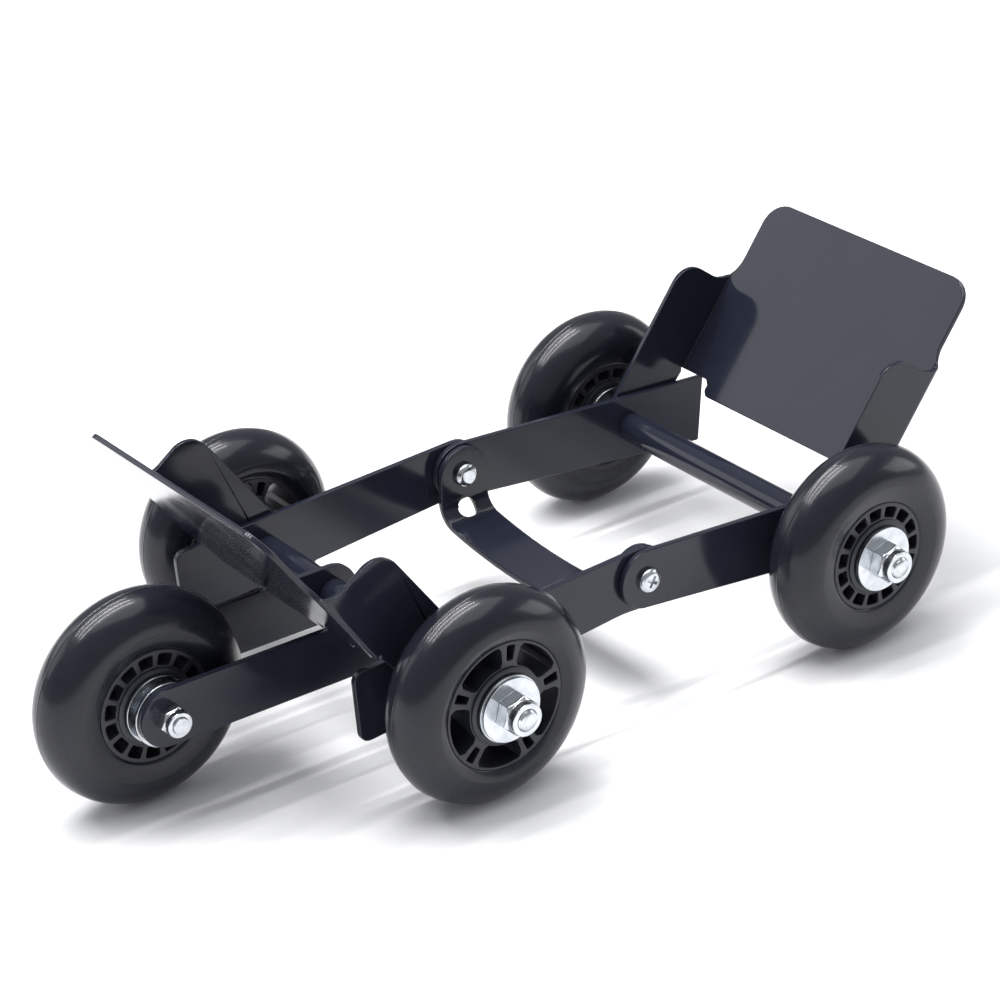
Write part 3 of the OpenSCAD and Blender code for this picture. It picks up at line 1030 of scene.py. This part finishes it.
@dataclass
class Axle:
    """One axle: its threaded rod, tubes, washers, bushes and lock nuts."""

    name: str
    rod: str
    tubes: str | None
    rings: tuple[str, ...]
    nuts: str
    rod_r: float = 4.0
    pitch: float = 1.25
    thread_depth: float = 0.6
    thread_len: float = 13.0
    run_out: float = 2.0
    chamfer: float = 0.7
    steps: int = 48
    bolt_edge: float = 0.2
    tube_edge: float = 0.3
    ring_edge: float = 0.22
    nut_edge: float = 0.3

    def thread(self, y0: float, y1: float) -> Mesh:
        """A rod with rolled threads at both ends, closed by chamfered caps.

        The radius at angle a and height y is the rod's, less the thread's depth times a triangle
        wave of (y / pitch - a / full turn), faded out where the thread ends and drawn in at each
        end of the rod as the chamfer.

        Args:
            y0: the rod's near end, in millimetres.
            y1: its far end.

        Returns:
            The mesh, in metres.
        """
        steps = self.steps
        fine = self.pitch / 10
        near = np.arange(y0, y0 + self.thread_len, fine)
        far = np.arange(y1, y1 - self.thread_len, -fine)[::-1]
        y = np.unique(np.concatenate([near, far]))
        angle = np.linspace(0, 2 * math.pi, steps, endpoint=False)
        phase = y[:, None] / self.pitch - angle[None, :] / (2 * math.pi)
        groove = np.abs(2 * (phase - np.floor(phase + 0.5)))
        end = np.minimum(y - y0, y1 - y)
        depth = np.clip((self.thread_len - self.run_out / 2 - end) / self.run_out, 0, 1)
        radius = self.rod_r - self.thread_depth * depth[:, None] * groove
        cone = self.rod_r - self.chamfer + np.minimum(end, self.chamfer)
        radius = np.minimum(radius, cone[:, None])
        middle = node_centre(self.rod)
        x = middle[0] + radius * np.cos(angle)
        z = middle[2] + radius * np.sin(angle)
        grid = np.stack([x, np.repeat(y[:, None], steps, 1), z], -1)
        last = (len(y) - 1) * steps
        i, j = np.meshgrid(np.arange(len(y) - 1), np.arange(steps), indexing="ij")
        row, side = i * steps, (j + 1) % steps
        quads = np.stack([row + j, row + steps + j, row + steps + side, row + side], -1)
        caps = [np.arange(steps).tolist(), (np.arange(steps)[::-1] + last).tolist()]
        mesh = bpy.data.meshes.new(f"{self.name}_rod")
        faces = quads.reshape(-1, 4).tolist() + caps
        mesh.from_pydata((grid.reshape(-1, 3) * MM).tolist(), [], faces)
        return mesh

    def build(self, finishes: Finishes) -> None:
        """Makes the axle's pieces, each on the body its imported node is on.

        An axle without tubes has a headed bolt, which is a copy of its node, for a rod.

        Args:
            finishes: the dolly's materials.
        """
        middle = node_centre(self.rod)
        zinc = finishes.plated(self.name, (middle[0], middle[2]))
        if self.tubes:
            low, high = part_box(self.rod)
            mesh = self.thread(low.y / MM, high.y / MM)
            piece = show(mesh, f"{self.name}_threaded_rod", zinc)
            mesh.set_sharp_from_angle(angle=math.radians(SHARP_DEG))
            settle(piece, NODE_BODY[self.rod], Slot.ZINC, self.rod)
            name = f"{self.name}_painted_tubes"
            dress(self.tubes, name, finishes.enamel, Slot.PAINT, self.tube_edge)
        else:
            dress(self.rod, f"{self.name}_bolt", zinc, Slot.ZINC, self.bolt_edge)
        for node in self.rings:
            dress(node, f"plated_{node}", zinc, Slot.ZINC, self.ring_edge)
        dress(self.nuts, f"plated_{self.nuts}", zinc, Slot.ZINC, self.nut_edge, 3)


# ---------- wheels ----------


@dataclass(frozen=True)
class WindowRow:
    """A ring of equal openings through a core's web, each a sector with rounded corners."""

    count: int
    inner_r: float
    rim: float
    half: float
    corner: float
    step: float
    arc_points: int = 17

    def loops(self, core_r: float, first: float) -> list[np.ndarray]:
        """The openings as closed loops.

        Args:
            core_r: the core's radius, in millimetres.
            first: the angle of the first opening's middle, in degrees.

        Returns:
            The loops, as points (x, z) about the axle.
        """
        span = np.radians(np.linspace(-self.half, self.half, self.arc_points))
        angle = np.concatenate([span, span[::-1]])
        radius = np.repeat([core_r - self.rim, self.inner_r], self.arc_points)
        near_end = (math.radians(self.half) - np.abs(angle)) * radius / self.corner
        pull = self.corner * (1 - np.sqrt(1 - (1 - np.clip(near_end, 0, 1)) ** 2))
        radius = radius + pull * np.repeat([-1, 1], self.arc_points)
        loops = []
        for i in range(self.count):
            turn = angle + math.radians(first + i * self.step)
            loops.append(np.stack([radius * np.cos(turn), radius * np.sin(turn)], -1))
        return loops


SMALL_ROW = WindowRow(count=15, inner_r=15.2, rim=1.6, half=8.8, corner=0.6, step=24.0)
WIDE_ROW = WindowRow(count=5, inner_r=14.9, rim=1.1, half=25.4, corner=1.6, step=-72.0)
SLOT_ROW = WindowRow(count=5, inner_r=17.0, rim=1.4, half=4.4, corner=0.5, step=-72.0)


@dataclass
class Wheel:
    """One wheel: a cast tyre on a moulded core, running on two ball bearings."""

    name: str
    core_r: float
    spoke_phase: float | None = None
    wheel_r: float = 40.0
    half_w: float = 12.0
    shoulder_r: float = 27.5
    lip_half_w: float = 10.4
    lip: tuple[tuple[float, float], ...] = ((0.0, -0.3), (0.35, 0.05), (1.2, 0.3))
    bead: float = 0.12
    bead_w: float = 0.22
    bead_half: float = 0.6
    web_edge: float = 0.3
    boss_r: float = 14.4
    boss_w: float = 11.5
    boss_corner: tuple[float, float] = (0.5, 0.4)
    boss_waist: float = 5.0
    web_lap: float = 0.6
    bearing_r: float = 11.0
    bearing_lead: float = 0.3
    seat_r: float = 8.5
    seat_y: float = 4.5

    def tyre_profile(self) -> tuple[np.ndarray, np.ndarray]:
        """The tyre's closed profile.

        The tread is a half ellipse from one sidewall's shoulder over the running radius to the
        other, lowered by the bead's height except at a narrow bell-shaped bead on the middle
        line where the mould parts. Sidewalls fall straight to a rounded lip at the core.

        Returns:
            Radii and heights from the tyre's middle plane, in millimetres.
        """
        tall = self.wheel_r - self.bead - self.shoulder_r
        a = np.linspace(-math.pi / 2, math.pi / 2, 61)
        y = self.half_w * np.sin(a)
        r = self.shoulder_r + tall * np.cos(a)
        fine = np.linspace(-self.bead_half, self.bead_half, 9)
        crown = self.shoulder_r + tall * np.sqrt(1 - (fine / self.half_w) ** 2)
        bead = crown + self.bead * np.exp(-((fine / self.bead_w) ** 2))
        keep = np.abs(y) > self.bead_half + 0.1
        order = np.argsort(np.concatenate([y[keep], fine]), kind="stable")
        r = np.concatenate([r[keep], bead])[order]
        y = np.concatenate([y[keep], fine])[order]
        out, up = np.array(self.lip).T
        lip_r, lip_y = self.core_r + out, self.lip_half_w + up
        return np.concatenate([lip_r, r, lip_r[::-1]]), np.concatenate([-lip_y, y, lip_y[::-1]])

    def windows(self) -> list[np.ndarray]:
        """The openings through the core's web.

        A wide core has five sectors and, between them, five narrow slots that split each spoke
        in two. A small core has fifteen small openings.

        Returns:
            The loops, as points (x, z) about the axle.
        """
        if self.spoke_phase is None:
            return SMALL_ROW.loops(self.core_r, 0.0)
        slots = SLOT_ROW.loops(self.core_r, -self.spoke_phase)
        return WIDE_ROW.loops(self.core_r, -self.spoke_phase + WIDE_ROW.step / 2) + slots

    def web(self, middle: np.ndarray, finishes: Finishes, body: str) -> None:
        """Makes the core's pierced web, flush with the tyre's lips.

        Args:
            middle: the wheel's centre, in millimetres.
            finishes: the dolly's materials.
            body: the wheel's body.
        """
        name = f"{self.name}_core_web"
        round_ = np.arange(0, 360, 3.75)
        rim, seat = (arc((0, 0), (r, r), round_) for r in (self.core_r, self.boss_r - self.web_lap))
        flat, faces = cut_sheet([rim, seat, *self.windows()], [])
        points = np.stack([flat[:, 0], np.zeros(len(flat)), flat[:, 1]], -1) + middle
        mesh = bpy.data.meshes.new(name)
        mesh.from_pydata((points * MM).tolist(), [], faces)
        piece = show(mesh, name, finishes.nylon)
        thicken(piece, 2 * self.lip_half_w, self.web_edge)
        settle(piece, body, Slot.CORE, f"{self.name}_hub")

    def boss(self, middle: np.ndarray, finishes: Finishes, body: str) -> None:
        """Makes the core's boss, bored out for the two bearings.

        Args:
            middle: the wheel's centre, in millimetres.
            finishes: the dolly's materials.
            body: the wheel's body.
        """
        name = f"{self.name}_core_boss"
        bore, lead, out, face = self.bearing_r, self.bearing_lead, self.boss_r, self.boss_w
        in_r, in_y = self.boss_corner
        r = np.array([self.seat_r, bore, bore, bore + lead, out - in_r, out, out])
        y = np.array([self.seat_y, self.seat_y, face - lead, face, face, face - in_y, self.boss_waist])
        profile = np.concatenate([r, r[::-1]]), np.concatenate([y, -y[::-1]]) + middle[1]
        mesh = turned(profile, (middle[0], middle[2]), name)
        piece = show(mesh, name, finishes.nylon)
        mesh.set_sharp_from_angle(angle=math.radians(SHARP_DEG))
        settle(piece, body, Slot.CORE, f"{self.name}_hub")

    def build(self, finishes: Finishes) -> None:
        """Makes the tyre and core, and dresses the bearings.

        Args:
            finishes: the dolly's materials.
        """
        body = f"{self.name}_wheel"
        name = f"{self.name}_cast_tyre"
        middle = node_centre(f"{self.name}_tyre")
        radii, heights = self.tyre_profile()
        mesh = turned((radii, heights + middle[1]), (middle[0], middle[2]), name, 144)
        settle(show(mesh, name, finishes.urethane), body, Slot.TYRE, f"{self.name}_tyre")
        self.web(middle, finishes, body)
        self.boss(middle, finishes, body)
        for part in ("bearing_outers", "bearing_inners", "ball_cages"):
            bearing = frame["nodes"][f"{self.name}_{part}"]
            bearing.data.materials.clear()
            bearing.data.materials.append(finishes.ground)


# ---------- studio ----------


@dataclass(frozen=True)
class Softbox:
    """One rectangular soft light, facing the point aim. Lengths are metres, power is watts."""

    name: str
    place: tuple[float, float, float]
    aim: tuple[float, float, float]
    size: tuple[float, float]
    power: float

    def build(self) -> None:
        """Makes the light."""
        data = bpy.data.lights.new(self.name, "AREA")
        data.shape = "RECTANGLE"
        data.size, data.size_y = self.size
        data.energy = self.power
        light = bpy.data.objects.new(self.name, data)
        way = Vector(self.aim) - Vector(self.place)
        turn = way.to_track_quat("-Z", "Y").to_matrix().to_4x4()
        light.matrix_world = Matrix.Translation(self.place) @ turn
        bpy.context.scene.collection.objects.link(light)


@dataclass
class Studio:
    """The floor, the soft lights and the camera."""

    azimuth: float = math.radians(-36.41)
    elevation: float = math.radians(26.73)
    roll: float = math.radians(-1.39)
    distance: float = 1.1912
    target: tuple[float, float, float] = (0.00858, 0.0, 0.062)
    lens: float = 117.4
    sensor: float = 36.0
    clip: tuple[float, float] = (0.05, 20.0)
    floor_half: float = 6.0
    floor_cells: int = 8
    strips: tuple[tuple[float, float], ...] = ((0.12, 10), (0.45, 13), (0.85, 13))
    panels: tuple[Softbox, ...] = (
        Softbox("far_panel", (-1.7, 2.3, 1.3), (0, 0, 0.1), (2.6, 1.5), 17),
        Softbox("right_fill", (2.1, -0.9, 0.8), (0, 0, 0.03), (1.4, 0.9), 9),
        Softbox("overhead_panel", (0.3, -0.2, 2.4), (0, 0, 0), (2.2, 2.2), 28),
    )

    def camera(self) -> None:
        """Makes the camera on its orbit, rolled a little about its own axis."""
        a, e = self.azimuth, self.elevation
        back = Vector((math.sin(a) * math.cos(e), -math.cos(a) * math.cos(e), math.sin(e)))
        right = Vector((0, 0, 1)).cross(back).normalized()
        up = back.cross(right)
        across = right * math.cos(self.roll) + up * math.sin(self.roll)
        over = up * math.cos(self.roll) - right * math.sin(self.roll)
        data = bpy.data.cameras.new("studio_camera")
        data.lens = self.lens
        data.sensor_width = self.sensor
        data.clip_start, data.clip_end = self.clip
        camera = bpy.data.objects.new("studio_camera", data)
        turn = Matrix((across, over, back)).transposed().to_4x4()
        camera.matrix_world = Matrix.Translation(Vector(self.target) + back * self.distance) @ turn
        bpy.context.scene.collection.objects.link(camera)
        bpy.context.scene.camera = camera

    def floor(self) -> None:
        """Makes the pale floor as one wide grid."""
        cells, row = self.floor_cells, self.floor_cells + 1
        line = np.linspace(-self.floor_half, self.floor_half, row)
        x, y = np.meshgrid(line, line, indexing="ij")
        grid = np.stack([x, y, np.zeros_like(x)], -1).reshape(-1, 3)
        i, j = np.meshgrid(np.arange(cells), np.arange(cells), indexing="ij")
        here, ahead = i * row + j, (i + 1) * row + j
        quads = np.stack([here, ahead, ahead + 1, here + 1], -1)
        mesh = bpy.data.meshes.new("pale_floor")
        mesh.from_pydata(grid.tolist(), [], quads.reshape(-1, 4).tolist())
        made = bpy.data.materials.new("matt_white_sweep")
        made.use_nodes = True
        shader = made.node_tree.nodes["Principled BSDF"]
        shader.inputs["Base Color"].default_value = linear("#f4f4f5")
        shader.inputs["Roughness"].default_value = 0.75
        shader.inputs["Specular IOR Level"].default_value = 0.2
        show(mesh, "pale_floor", made)

    def build(self) -> None:
        """Sets up the whole studio."""
        self.camera()
        self.floor()
        world = bpy.data.worlds.new("soft_room")
        world.use_nodes = True
        ground = world.node_tree.nodes["Background"]
        ground.inputs["Color"].default_value = linear("#f2f4f7")
        ground.inputs["Strength"].default_value = 0.42
        bpy.context.scene.world = world
        for y, power in self.strips:
            name = f"strip_{power}_{y}"
            Softbox(name, (-0.35, y, 1.5), (-0.35, y, 0), (1.5, 0.07), power).build()
        for panel in self.panels:
            panel.build()
        bpy.context.scene.view_settings.view_transform = "Standard"


def main() -> None:
    """Builds the dolly piece by piece, then the studio."""
    logging.basicConfig(level=logging.INFO, format="%(message)s", force=True)
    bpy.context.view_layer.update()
    finishes = Finishes()
    fork_slots = (-24.65, 13.85)
    for end, forward, plate_len, ear_top, notches in (
        ("front", -1, 75.0, 36.5, fork_slots),
        ("rear", 1, 81.0, 43.0, ()),
    ):
        names = (f"{end}_tray", f"{end}_tray_body", f"{end}_axle_rod")
        FoldedTray(*names, forward, plate_len, ear_top, notches).build(finishes)
    BlankedBars().build(finishes)
    SaddleStrap().build(finishes)
    HingeHardware().build(finishes)
    for end, tubes in (("front", "front_spacer_tubes"), ("rear", "rear_spacer_tube")):
        rings = (f"{end}_wheel_washers", f"{end}_inner_spacers")
        Axle(end, f"{end}_axle_rod", tubes, rings, f"{end}_wheel_nuts").build(finishes)
    rings = ("nose_wheel_washers", "nose_spacer_bushes")
    Axle("nose", "nose_axle_bolt", None, rings, "nose_wheel_nut").build(finishes)
    for wheel in (
        Wheel("nose", 21.0),
        Wheel("near_front", 24.0, 62.0),
        Wheel("far_front", 24.0, 0.0),
        Wheel("near_rear", 21.0),
        Wheel("far_rear", 21.0),
    ):
        wheel.build(finishes)
    Studio().build()


if __name__ == "__main__":
    main()
